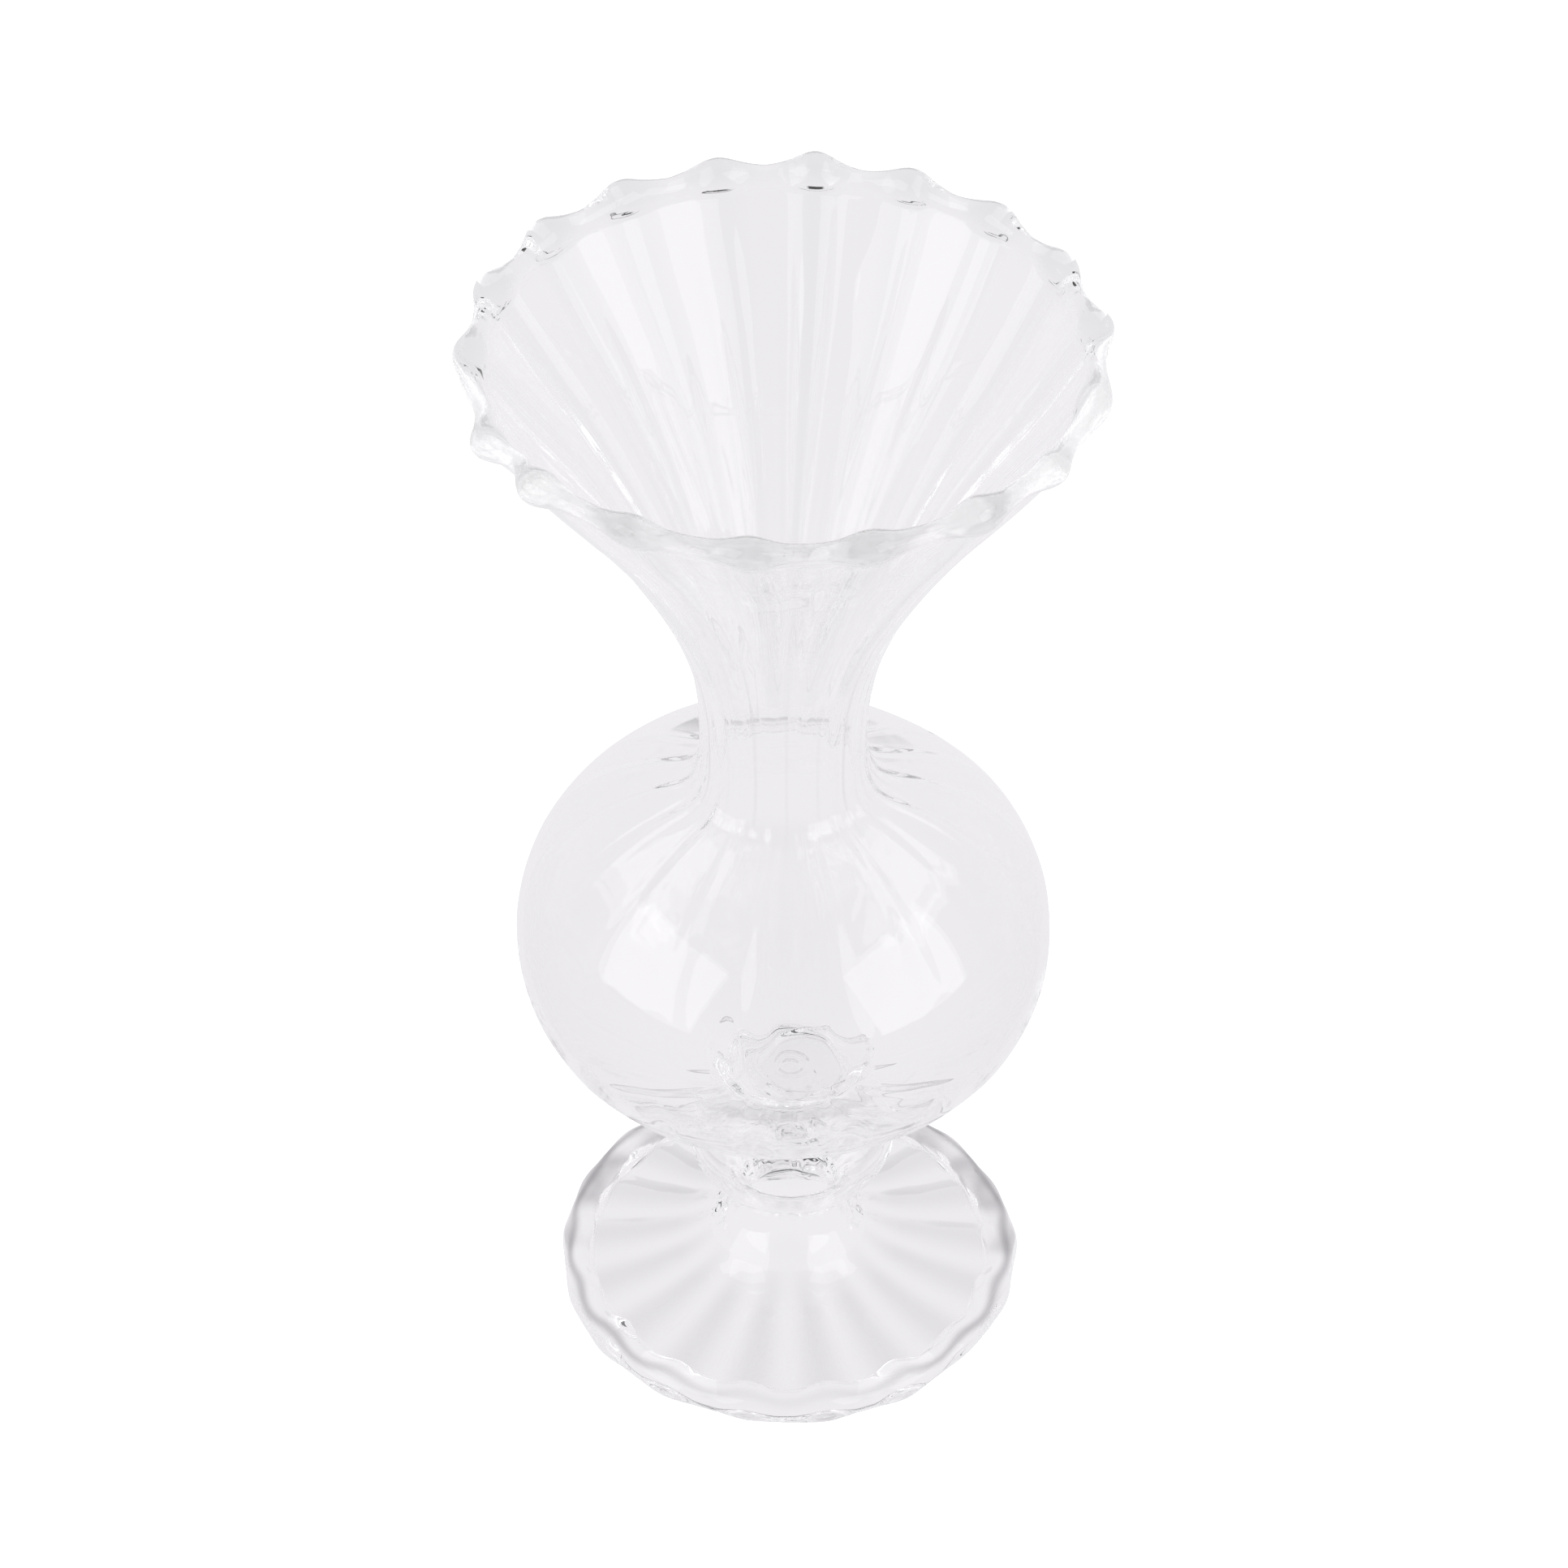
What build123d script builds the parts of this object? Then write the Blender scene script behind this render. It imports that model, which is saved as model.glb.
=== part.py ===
from build123d import *
import os
from math import asin, cos, degrees, radians, sin, sqrt

# A lampworked glass bud vase, in millimetres. It is one body of ribbed glass,
# divided here at the joins where its sections are melted together. It stands on
# z = 0, with its origin at the centre of the foot's underside and +Z up its axis.

# ---- The mould's ribs ----
rib_count = 18
first_rib_angle = 5
half_pitch = 180 / rib_count

# ---- Heights of the joins, from the table up ----
stem_foot_join = 9.0
knop_stem_join = 19.2
globe_knop_join = 38.2
neck_globe_join = 92.6
mouth_neck_join = 116.0
rim_mouth_join = 161.8

# ---- Foot ----
foot_radius = 32.5
foot_bead_radius = 2.1
foot_bead_height = 1.95
foot_seam_radius = 29.0
foot_edge_top = 3.3
foot_edge_bottom = 1.0
foot_rib_radius = 1.2
foot_rib_inner = 12.5
foot_rib_outer = 28.4
foot_rib_drop = 2.9
foot_rib_outer_height = 2.3

# the plate between the seam and the stem, as (radius, height) from the seam inwards
foot_plate_top = [(20.0, 4.4), (13.0, 6.2)]
foot_plate_underside = [(20.0, 1.8), (12.5, 3.4), (8.0, 5.7)]

# ---- Stem ----
stem_foot_radius = 9.3
stem_waist_radius = 8.1
stem_waist_height = 14.5
stem_bore_foot = 6.6
stem_bore_waist = 5.4

# ---- Knop: a small hollow ball, slightly flattened ----
knop_centre = 29.0
knop_width = 14.5
knop_height = 12.0
knop_wall = 1.1
knop_rib_depth = 0.25
knop_section_count = 9

# ---- Globe: the wide, flattened ball that holds the water ----
globe_centre = 65.7
globe_width = 36.6
globe_height = 28.5
globe_wall = 1.1
globe_floor_wall = 1.6
globe_shoulder_rib_depth = 0.5
globe_floor_rib_depth = 0.3
globe_section_count = 15

# ---- Floor seal: the melted plug in the globe's floor ----
seal_radius = 8.6
seal_edge_top = 39.9
seal_dome_top = 40.6
seal_underside = 37.2
seal_nub_radius = 1.3
seal_shoulder_radius = 5.5
seal_shoulder_drop = 0.1
seal_belly_radius = 4.0
seal_belly_rise = 0.2
seal_edge_gap = 0.4

# ---- Neck and trumpet mouth: height, radius over the ribs, rib depth ----
neck_wall = 1.4
neck_stations = [
    (neck_globe_join, 12.3, 0.5),
    (97.0, 11.75, 0.5),
    (102.0, 11.65, 0.5),
    (109.0, 12.1, 0.55),
    (mouth_neck_join, 13.6, 0.6),
]
mouth_stations = [
    (mouth_neck_join, 13.6, 0.6),
    (125.0, 17.0, 0.8),
    (135.0, 22.2, 1.0),
    (145.0, 28.5, 1.0),
    (154.0, 35.0, 1.0),
    (rim_mouth_join, 40.5, 1.0),
]
mouth_wall = 1.5

# ---- Rim: a melted bead with a droplet where each rib ends ----
rim_radius = 39.9
rim_height = 163.2
rim_bead_radius = 1.6
droplet_radius = 40.9
droplet_height = 2.3
droplet_length = 3.6

os.makedirs("parts", exist_ok=True)


def ribbed_section(height, crest_radius, rib_depth):
    """A round outline at one height, with a rounded crest at every rib."""
    points = []
    for step in range(2 * rib_count):
        angle = radians(first_rib_angle + step * half_pitch)
        radius = crest_radius - rib_depth * (step % 2)
        points.append((radius * cos(angle), radius * sin(angle)))
    with BuildSketch(Plane.XY.offset(height)) as section:
        with BuildLine():
            Spline(*points, periodic=True)
        make_face()
    return section.sketch


def bore_profile(stations, wall):
    """Half profile of the smooth hollow inside a ribbed tube."""
    points = [(crest - depth - wall, height) for height, crest, depth in stations]
    bottom, top = points[0], points[-1]
    with BuildSketch(Plane.XZ) as profile:
        with BuildLine():
            Spline(*points)
            Polyline(top, (0, top[1]), (0, bottom[1]), bottom)
        make_face()
    return profile.sketch


def ball_stations(centre, width, height, bottom, top, count, rib_depth_at):
    """Sections of a flattened ball, evenly spaced round its curve."""
    low = asin((bottom - centre) / height)
    high = asin((top - centre) / height)
    stations = []
    for index in range(count):
        turn = low + (high - low) * index / (count - 1)
        level = centre + height * sin(turn)
        stations.append((level, width * cos(turn), rib_depth_at(turn)))
    return stations


def ball_hollow(centre, width, height, bottom, top):
    """Half profile of a flattened ball's hollow between two levels."""
    with BuildSketch(Plane.XZ) as profile:
        with Locations((0, centre)):
            Ellipse(width, height)
        with Locations((0, bottom)):
            Rectangle(width, top - bottom, align=(Align.MIN, Align.MIN), mode=Mode.INTERSECT)
    return profile.sketch


# ---- Foot rim: the thick rolled edge, flattened where it meets the table ----
with BuildPart() as foot_rim:
    with BuildSketch(Plane.XZ):
        with Locations((foot_radius - foot_bead_radius, foot_bead_height)):
            Circle(foot_bead_radius)
        with Locations((foot_seam_radius, 0)):
            Rectangle(
                2 * foot_bead_radius,
                4 * foot_bead_radius,
                align=(Align.MIN, Align.MIN),
                mode=Mode.INTERSECT,
            )
    revolve(axis=Axis.Z)
foot_rim.part.label = "foot_rim"
export_step(foot_rim.part, "parts/foot_rim.step")

# ---- Foot disc: a thin plate that rises to the stem, hollow underneath ----
with BuildPart() as foot_disc:
    with BuildSketch(Plane.XZ):
        with BuildLine():
            Spline(
                (foot_seam_radius, foot_edge_top),
                *foot_plate_top,
                (stem_foot_radius, stem_foot_join),
            )
            Line((stem_foot_radius, stem_foot_join), (stem_bore_foot, stem_foot_join))
            Spline(
                (stem_bore_foot, stem_foot_join),
                *reversed(foot_plate_underside),
                (foot_seam_radius, foot_edge_bottom),
            )
            Line((foot_seam_radius, foot_edge_bottom), (foot_seam_radius, foot_edge_top))
        make_face()
    revolve(axis=Axis.Z)
    rib_length = foot_rib_outer - foot_rib_inner
    rib_tilt = degrees(asin(foot_rib_drop / rib_length))
    rib_middle_height = foot_rib_outer_height + foot_rib_drop / 2
    with Locations((0, 0, rib_middle_height)):
        with PolarLocations((foot_rib_inner + foot_rib_outer) / 2, rib_count, first_rib_angle):
            Cylinder(foot_rib_radius, rib_length, rotation=(0, 90 + rib_tilt, 0))
foot_disc.part.label = "foot_disc"
export_step(foot_disc.part, "parts/foot_disc.step")

# ---- Stem: a short waisted tube ----
knop_foot_radius = knop_width * sqrt(1 - ((knop_stem_join - knop_centre) / knop_height) ** 2)
knop_hollow_width = knop_width - knop_wall
knop_hollow_height = knop_height - knop_wall
knop_bore_radius = knop_hollow_width * sqrt(
    1 - ((knop_stem_join - knop_centre) / knop_hollow_height) ** 2
)
with BuildPart() as stem:
    with BuildSketch(Plane.XZ):
        with BuildLine():
            Spline(
                (stem_foot_radius, stem_foot_join),
                (stem_waist_radius, stem_waist_height),
                (knop_foot_radius, knop_stem_join),
            )
            Line((knop_foot_radius, knop_stem_join), (knop_bore_radius, knop_stem_join))
            Spline(
                (knop_bore_radius, knop_stem_join),
                (stem_bore_waist, stem_waist_height),
                (stem_bore_foot, stem_foot_join),
            )
            Line((stem_bore_foot, stem_foot_join), (stem_foot_radius, stem_foot_join))
        make_face()
    revolve(axis=Axis.Z)
stem.part.label = "stem"
export_step(stem.part, "parts/stem.step")

# ---- Knop ----
knop_sections = ball_stations(
    knop_centre,
    knop_width,
    knop_height,
    knop_stem_join,
    globe_knop_join,
    knop_section_count,
    lambda turn: knop_rib_depth * cos(turn),
)
with BuildPart() as knop:
    loft(sections=[ribbed_section(*station) for station in knop_sections])
    hollow = ball_hollow(
        knop_centre,
        knop_hollow_width,
        knop_hollow_height,
        knop_stem_join,
        globe_knop_join,
    )
    revolve(hollow, axis=Axis.Z, mode=Mode.SUBTRACT)
knop.part.label = "knop"
export_step(knop.part, "parts/knop.step")


# ---- Globe ----
def globe_rib_depth(turn):
    """Ribs are strong on the shoulder, faint on the floor and gone at the waist."""
    depth = globe_shoulder_rib_depth if turn > 0 else globe_floor_rib_depth
    return depth * sin(turn) ** 2


globe_sections = ball_stations(
    globe_centre,
    globe_width,
    globe_height,
    globe_knop_join,
    neck_globe_join,
    globe_section_count,
    globe_rib_depth,
)
neck_bore_radius = neck_stations[0][1] - neck_stations[0][2] - neck_wall
with BuildPart() as globe:
    loft(sections=[ribbed_section(*station) for station in globe_sections])
    hollow = ball_hollow(
        globe_centre,
        globe_width - globe_wall,
        globe_height - globe_floor_wall,
        globe_knop_join,
        neck_globe_join,
    )
    revolve(hollow, axis=Axis.Z, mode=Mode.SUBTRACT)
    with BuildSketch(Plane.XY.offset(globe_centre)):
        Circle(neck_bore_radius)
    extrude(amount=neck_globe_join - globe_centre, mode=Mode.SUBTRACT)
    with BuildSketch(Plane.XY.offset(globe_knop_join)):
        Circle(seal_radius)
    extrude(amount=globe_centre - globe_knop_join, mode=Mode.SUBTRACT)
globe.part.label = "globe"
export_step(globe.part, "parts/globe.step")

# ---- Floor seal: a domed plug with a small nub, bulging into the knop below ----
knop_mouth_radius = knop_hollow_width * sqrt(
    1 - ((globe_knop_join - knop_centre) / knop_hollow_height) ** 2
)
seal_belly_edge = knop_mouth_radius - seal_edge_gap
with BuildPart() as floor_seal:
    with BuildSketch(Plane.XZ):
        with BuildLine():
            Line((0, seal_underside), (0, seal_dome_top))
            Spline(
                (0, seal_dome_top),
                (seal_shoulder_radius, seal_dome_top - seal_shoulder_drop),
                (seal_radius, seal_edge_top),
            )
            Line((seal_radius, seal_edge_top), (seal_radius, globe_knop_join))
            Line((seal_radius, globe_knop_join), (seal_belly_edge, globe_knop_join))
            Spline(
                (seal_belly_edge, globe_knop_join),
                (seal_belly_radius, seal_underside + seal_belly_rise),
                (0, seal_underside),
            )
        make_face()
    revolve(axis=Axis.Z)
    with Locations((0, 0, seal_dome_top)):
        Sphere(seal_nub_radius)
floor_seal.part.label = "floor_seal"
export_step(floor_seal.part, "parts/floor_seal.step")

# ---- Neck ----
with BuildPart() as neck:
    loft(sections=[ribbed_section(*station) for station in neck_stations])
    revolve(bore_profile(neck_stations, neck_wall), axis=Axis.Z, mode=Mode.SUBTRACT)
neck.part.label = "neck"
export_step(neck.part, "parts/neck.step")

# ---- Trumpet mouth ----
with BuildPart() as trumpet_mouth:
    loft(sections=[ribbed_section(*station) for station in mouth_stations])
    revolve(bore_profile(mouth_stations, mouth_wall), axis=Axis.Z, mode=Mode.SUBTRACT)
trumpet_mouth.part.label = "trumpet_mouth"
export_step(trumpet_mouth.part, "parts/trumpet_mouth.step")

# ---- Rim bead, with one droplet of melted glass at the end of each rib ----
with BuildPart() as droplet:
    with BuildSketch(Plane.XY):
        with BuildLine():
            EllipticalCenterArc((0, 0), droplet_height, droplet_length, -90, arc_size=180)
            Line((0, droplet_length), (0, -droplet_length))
        make_face()
    revolve(axis=Axis.Y)

with BuildPart() as rim_bead:
    with BuildSketch(Plane.XZ):
        with Locations((rim_radius, rim_height)):
            Circle(rim_bead_radius)
    revolve(axis=Axis.Z)
    with Locations((0, 0, rim_height)):
        with PolarLocations(droplet_radius, rib_count, first_rib_angle):
            add(droplet.part)
    split(bisect_by=Plane.XY.offset(rim_mouth_join), keep=Keep.TOP)
rim_bead.part.label = "rim_bead"
export_step(rim_bead.part, "parts/rim_bead.step")
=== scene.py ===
import math

import bpy
import numpy as np
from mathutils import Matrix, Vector


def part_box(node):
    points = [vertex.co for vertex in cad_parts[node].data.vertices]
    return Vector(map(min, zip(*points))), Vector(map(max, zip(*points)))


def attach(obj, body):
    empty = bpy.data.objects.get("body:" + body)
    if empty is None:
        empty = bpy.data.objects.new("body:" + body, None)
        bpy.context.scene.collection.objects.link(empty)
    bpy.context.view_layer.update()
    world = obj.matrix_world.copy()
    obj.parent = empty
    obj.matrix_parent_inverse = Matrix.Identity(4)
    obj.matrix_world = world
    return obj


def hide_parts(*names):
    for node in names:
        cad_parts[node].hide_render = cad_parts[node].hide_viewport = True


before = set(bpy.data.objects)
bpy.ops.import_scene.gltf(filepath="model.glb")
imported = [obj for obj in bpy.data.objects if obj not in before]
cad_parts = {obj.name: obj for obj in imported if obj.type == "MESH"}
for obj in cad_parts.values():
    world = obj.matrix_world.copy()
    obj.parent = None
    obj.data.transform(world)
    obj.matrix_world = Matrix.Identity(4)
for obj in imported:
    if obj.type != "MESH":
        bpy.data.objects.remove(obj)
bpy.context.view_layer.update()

# A lampworked glass bud vase. One closed outline, from the vessel's floor over the rim
# and down under the foot, is turned about the axis and then shaped by ribs, droplets and
# the unevenness of handwork. It is cut at the CAD joins into one piece for each node.
# Lengths in the outline are millimetres; meshes, lights and the camera are in metres.

MM = 0.001


# ---------------------------------------------------------------- sizes from the frame
def low(node):
    """A node's lowest point, in mm."""
    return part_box(node)[0][2] / MM


def top(node):
    """A node's highest point, in mm."""
    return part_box(node)[1][2] / MM


def width(node):
    """Half a node's width, in mm."""
    return (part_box(node)[1][0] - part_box(node)[0][0]) / 2 / MM


RIM_JOIN = top("trumpet_mouth")
NECK_TOP = top("neck")
NECK_FOOT = low("neck")
THROAT = low("globe")
KNOP_FOOT = low("knop")
STEM_FOOT = low("stem")
HEIGHT = top("rim_bead")
GLOBE_WIDTH = width("globe")
KNOP_WIDTH = width("knop")
FOOT_WIDTH = width("foot_rim")
FOOT_JOIN = width("foot_disc")
SEAL_WIDTH = width("floor_seal")

# ---------------------------------------------------------------- the outline
STEP = 0.05           # spacing of the raw outline
CURVE_POINTS, BALL_POINTS, BEAD_POINTS = 40, 400, 200      # before they are spaced evenly
MELT = 0.55           # how far the flame has rounded every corner of it
NECK_MELT = 2.2       # the same at the neck's foot, where the join was worked longer
NECK_MELT_REACH = 4   # how far up and down from the neck's foot that goes,
NECK_MELT_WIDTH = 20  # and how far out
WAIST = 11.2          # the neck's narrowest half width, between its ribs
NECK_WALL, MOUTH_WALL, RIM_WALL = 1.4, 1.5, 1.7
RIM_END_POINTS = 20   # the last points of the wall, which give the way it leans
BEAD = 1.35           # half the thickness of the rim's bead between its droplets
BEAD_RISE = 1.6       # from the wall's end to the bead's centre
BEAD_OPENING = 125    # the bead's ends, in degrees from its crown, where it meets the wall
GLOBE_CENTRE, GLOBE_HEIGHT = 65.7, 28.5
GLOBE_WALL, GLOBE_FLOOR_WALL = 1.1, 1.6
SEAL_TOP = [(0, 40.2), (4.5, 40.15)]
SEAL_UNDER = [(4.0, 37.3), (0, 37.2)]
KNOP_WALL = 1.1
KNOP_THROAT, KNOP_NECK = 9.3, 8.2      # its half widths under the globe and on the stem
FLARE_WIDTH, FLARE_BORE = 11.2, 8.2    # where the stem's flare meets the foot's plate
PLATE_EDGE = FOOT_JOIN - 0.6           # where the foot's plate runs into its rolled edge
PLATE_TOP, PLATE_UNDER = 2.6, 1.1
FOOT_BEAD, FOOT_BEAD_HEIGHT = 2.25, 1.95
FOOT_BEAD_CENTRE = FOOT_WIDTH - FOOT_BEAD
ROLL_FIRST, ROLL_LAST = 150, -140      # the foot's rolled edge, in degrees round its centre


def even(points, step=STEP):
    """The same line with points at an even spacing."""
    points = np.asarray(points, float)
    run = np.r_[0, np.cumsum(np.hypot(*np.diff(points, axis=0).T))]
    count = max(2, int(round(run[-1] / step)) + 1)
    at = np.linspace(0, run[-1], count)
    return np.c_[np.interp(at, run, points[:, 0]), np.interp(at, run, points[:, 1])]


def curve(*points):
    """A smooth line through a few (radius, height) points."""
    points = np.asarray(points, float)
    padded = np.vstack([2 * points[0] - points[1], points, 2 * points[-1] - points[-2]])
    line = []
    t = np.linspace(0, 1, CURVE_POINTS, endpoint=False)[:, None]
    for a, b, c, d in zip(padded[:-3], padded[1:-2], padded[2:-1], padded[3:]):
        line.append(
            0.5 * (2 * b + (c - a) * t + (2 * a - 5 * b + 4 * c - d) * t**2
                   + (3 * b - a - 3 * c + d) * t**3)
        )
    return even(np.vstack([*line, points[-1:]]))


def ball(wide, high, centre, start, end):
    """The side of a flattened ball between two heights."""
    first = math.asin(max(-1, min(1, (start - centre) / high)))
    last = math.asin(max(-1, min(1, (end - centre) / high)))
    turn = np.linspace(first, last, BALL_POINTS)
    return even(np.c_[wide * np.cos(turn), centre + high * np.sin(turn)])


def ball_rise(wide, high, radius):
    """How far above or below its centre a flattened ball is this wide."""
    return high * math.sqrt(1 - (radius / wide) ** 2)


def bead(radius, height, size, first, last):
    """Part of a round bead, between two angles in degrees."""
    turn = np.radians(np.linspace(first, last, BEAD_POINTS))
    return even(np.c_[radius + size * np.cos(turn), height + size * np.sin(turn)])


def wall_side(points, wall):
    """The other side of a wall: the line moved towards the axis by its thickness."""
    slope = np.gradient(points, axis=0)
    slope /= np.hypot(*slope.T)[:, None]
    return points + np.c_[-slope[:, 1], slope[:, 0]] * np.asarray(wall)[:, None]


# the funnel and neck seen from outside, in the flats between the ribs, from below
mouth_outside = curve(
    (12.1, NECK_FOOT), (11.35, 96.5), (WAIST, 101.5), (11.6, 108.5), (13.1, NECK_TOP),
    (16.5, 125.0), (21.8, 135.0), (28.1, 145.0), (34.6, 154.2), (39.4, RIM_JOIN),
)
split_up = int(np.argmin(abs(mouth_outside[:, 1] - NECK_TOP)))
walls = np.interp(
    mouth_outside[:, 1], [NECK_FOOT, NECK_TOP, RIM_JOIN], [NECK_WALL, MOUTH_WALL, RIM_WALL]
)
mouth_inside = wall_side(mouth_outside, walls)
rim_out, rim_in = mouth_outside[-1], mouth_inside[-1]
rise = mouth_outside[-1] - mouth_outside[-RIM_END_POINTS]
rise /= np.hypot(*rise)
lean = math.degrees(math.atan2(rise[1], rise[0]))
bead_centre = (rim_out + rim_in) / 2 + rise * BEAD_RISE
rim_bead = bead(*bead_centre, BEAD, lean + BEAD_OPENING, lean - BEAD_OPENING)

hollow_width, hollow_height = GLOBE_WIDTH - GLOBE_WALL, GLOBE_HEIGHT - GLOBE_FLOOR_WALL
globe_inside = ball(
    hollow_width, hollow_height, GLOBE_CENTRE,
    GLOBE_CENTRE - ball_rise(hollow_width, hollow_height, SEAL_WIDTH),
    GLOBE_CENTRE + ball_rise(hollow_width, hollow_height, mouth_inside[0][0]),
)
globe_outside = ball(
    GLOBE_WIDTH, GLOBE_HEIGHT, GLOBE_CENTRE,
    GLOBE_CENTRE + ball_rise(GLOBE_WIDTH, GLOBE_HEIGHT, mouth_outside[0][0]), THROAT,
)
knop_upwards = curve(
    (KNOP_NECK, KNOP_FOOT), (12.3, 21.6), (KNOP_WIDTH - 0.2, 25.4), (KNOP_WIDTH - 0.4, 27.8),
    (12.5, 30.6), (10.4, 33.6), (KNOP_THROAT, 36.2), (KNOP_THROAT, THROAT),
)
knop_outside = knop_upwards[::-1]
knop_inside = wall_side(knop_upwards, [KNOP_WALL])
stem_out_top, stem_in_top = knop_outside[-1], knop_inside[0]
rolled_edge = bead(FOOT_BEAD_CENTRE, FOOT_BEAD_HEIGHT, FOOT_BEAD, ROLL_FIRST, ROLL_LAST)

LEGS = {
    "seal_top": even([*SEAL_TOP, tuple(globe_inside[0])]),
    "globe_inside": globe_inside,
    "neck_inside": mouth_inside[: split_up + 1],
    "mouth_inside": mouth_inside[split_up:],
    "rim": np.vstack([even([rim_in, rim_bead[0]]), rim_bead, even([rim_bead[-1], rim_out])]),
    "mouth_outside": mouth_outside[split_up:][::-1],
    "neck_outside": mouth_outside[: split_up + 1][::-1],
    "globe_outside": globe_outside,
    "knop_outside": knop_outside,
    "stem_outside": curve(
        tuple(stem_out_top), (7.2, 16.8), (7.5, 14.4), (8.9, 11.6), (FLARE_WIDTH, STEM_FOOT)
    ),
    "disc_top": curve(
        (FLARE_WIDTH, STEM_FOOT), (14.5, 6.6), (20.0, 4.5), (26.0, 3.1), (PLATE_EDGE, PLATE_TOP)
    ),
    "foot_bead": np.vstack([
        even([(PLATE_EDGE, PLATE_TOP), rolled_edge[0]]),
        rolled_edge,
        even([rolled_edge[-1], (PLATE_EDGE, PLATE_UNDER)]),
    ]),
    "disc_under": curve(
        (PLATE_EDGE, PLATE_UNDER), (20.0, 2.1), (13.5, 4.0), (10.0, 6.4), (FLARE_BORE, STEM_FOOT)
    ),
    "stem_bore": curve((FLARE_BORE, STEM_FOOT), (6.4, 11.8), (5.5, 15.0), tuple(stem_in_top)),
    "knop_inside": knop_inside,
    "seal_under": even([tuple(knop_inside[-1]), *SEAL_UNDER]),
}

# rows along each leg, in mm between rows
ROW = {
    "seal_top": 0.3, "globe_inside": 0.75, "neck_inside": 0.6, "mouth_inside": 0.65,
    "rim": 0.3, "mouth_outside": 0.65, "neck_outside": 0.6, "globe_outside": 0.7,
    "knop_outside": 0.5, "stem_outside": 0.5, "disc_top": 0.4, "foot_bead": 0.35,
    "disc_under": 0.6, "stem_bore": 0.6, "knop_inside": 0.6, "seal_under": 0.5,
}
COLUMNS_PER_RIB = 24
RIBS = 18
COLUMNS = RIBS * COLUMNS_PER_RIB


def ridge_at(distance, half_width):
    """1 at no distance, falling off smoothly with it."""
    return np.exp(-((distance / half_width) ** 2))


def rounded(line, melt):
    """A line that starts and ends on the axis, with its corners rounded."""
    reach = int(round(4 * melt / STEP))
    ahead = line[1 : reach + 1][::-1] * [-1, 1]
    behind = line[-reach - 1 : -1][::-1] * [-1, 1]
    offsets = np.arange(-reach, reach + 1) * STEP
    weights = np.exp(-((offsets / melt) ** 2) / 2)
    weights /= weights.sum()
    padded = np.vstack([ahead, line, behind])
    return np.c_[
        np.convolve(padded[:, 0], weights, "valid"), np.convolve(padded[:, 1], weights, "valid")
    ]


def melted(legs):
    """All legs as one line with its corners rounded, and each leg's rows on it."""
    line = np.vstack(list(legs.values()))
    smooth, softer = rounded(line, MELT), rounded(line, NECK_MELT)
    near_neck = ridge_at(line[:, 1] - NECK_FOOT, NECK_MELT_REACH)
    near_neck *= line[:, 0] < NECK_MELT_WIDTH
    smooth += (softer - smooth) * near_neck[:, None]
    smooth[0, 0] = smooth[-1, 0] = 0
    rows, names = [], []
    start = 0
    for name, points in legs.items():
        end = start + len(points) - 1
        stretch = smooth[start : min(end + 2, len(smooth))]
        run = np.r_[0, np.cumsum(np.hypot(*np.diff(stretch, axis=0).T))]
        count = int(round(run[-1] / ROW[name]))
        at = np.linspace(0, run[-1], count + 1)[:-1]
        rows.append(np.c_[np.interp(at, run, stretch[:, 0]), np.interp(at, run, stretch[:, 1])])
        names += [name] * count
        start = end + 1
    rows.append(smooth[-1:])
    names.append("end")
    return np.vstack(rows), np.array(names)


outline, leg_of = melted(LEGS)
FIRST_ROW = {name: int(np.argmax(leg_of == name)) for name in LEGS}
leg_names = list(LEGS)
LAST_ROW = {
    name: FIRST_ROW[leg_names[i + 1]] if i + 1 < len(leg_names) else len(outline) - 1
    for i, name in enumerate(leg_names)
}
radius, height = outline.T
tangent = np.gradient(outline, axis=0)
tangent /= np.hypot(*tangent.T)[:, None]
outward = np.c_[-tangent[:, 1], tangent[:, 0]]  # points out of the glass
shoulder_row = FIRST_ROW["globe_outside"] + 40
if outward[shoulder_row, 0] < 0:
    outward = -outward


# ---------------------------------------------------------------- shaping the glass
angle = (np.arange(COLUMNS) * 2 * math.pi / COLUMNS)[None, :]
PITCH = 2 * math.pi / RIBS
FIRST_RIB = math.radians(4)
DRIFT = math.radians(4)         # the ribs bunch up a little on one side
RIB_HALF_WIDTH = 0.33           # of the pitch
SWIRL = math.radians(5)         # the ribs twist a little under the globe and in the foot
FRONT = 270                     # the front of the vase, in degrees round the axis

# how deep each shape is, in mm
FAINT_RIB = 0.03                # the last trace of the ribs on the knop and stem
KNOP_FOOT_RIB = 0.08
WALL_WAVE, OVAL_WAVE = 0.12, 0.08
EDGE_WAVE = 0.18                # how far the foot's edge is out of round
TAPER = 0.8                     # the globe's, towards the knop
DENT = 0.6                      # in the globe's shoulder, on one side
DROP_SWELL, DROP_OUT, DROP_UP = 0.5, 0.45, 0.2
LEFT_DROP_OUT, RIGHT_DROP_OUT = 1.3, 0.4      # more for a few large droplets
# half widths across the ribs, in parts of the pitch
INNER_RIB, PLATE_RIB, EDGE_RIB, DROP = 0.26, 0.5, 0.42, 0.5
# half widths round the axis, in degrees
DENT_SPREAD, FADE_SPREAD, EDGE_FRONT_SPREAD = 40.107, 50, 60
FRONT_FADE = 0.75               # the part of the ribs that is missing in front of the globe
BEHIND = 0.04                   # the part of them that is left behind its shoulder


def along(values):
    """One number for each row, ready to combine with the columns."""
    return np.asarray(values, float)[:, None]


def by_height(*stations):
    """A number for each row, from a few (height, value) stations."""
    return along(np.interp(height, *zip(*stations)))


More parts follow.
